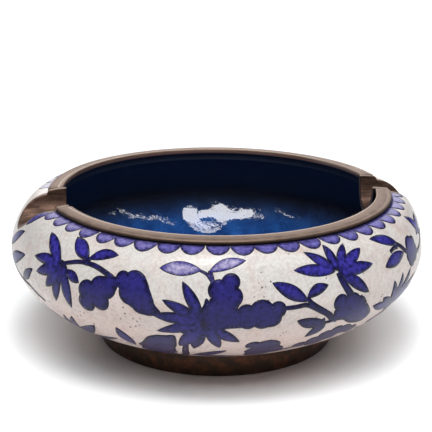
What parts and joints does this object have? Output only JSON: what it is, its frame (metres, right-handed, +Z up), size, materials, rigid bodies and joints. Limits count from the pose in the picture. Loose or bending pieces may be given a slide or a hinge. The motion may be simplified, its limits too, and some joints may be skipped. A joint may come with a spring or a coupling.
{
  "type": "cloisonne ashtray",
  "caption": "Low round footed bowl with an incurved enamelled shoulder, a flat metal rim and two trough-shaped cigar rests.",
  "frame": {"origin": "middle of the foot ring's underside, on the surface that the bowl stands on", "axes": "+Z up out of the mouth, the two cigar rests along X"},
  "size_m": [0.13, 0.13, 0.0483],
  "materials": {
    "enamel": "copper under fused glass enamel: white ground with blue cells outside, glossy dark blue inside",
    "rim_bronze": "rubbed bronze with a dull brown patina",
    "rest_bronze": "brushed bronze, darkened by use",
    "foot_bronze": "dark brown patina with reddish patches"
  },
  "bodies": {
    "root": {"enamelled_bowl": "enamel", "rim_band_front": "rim_bronze", "rim_band_back": "rim_bronze", "cigar_rest_left": "rest_bronze", "cigar_rest_right": "rest_bronze", "foot_ring": "foot_bronze"}
  },
  "joints": []
}
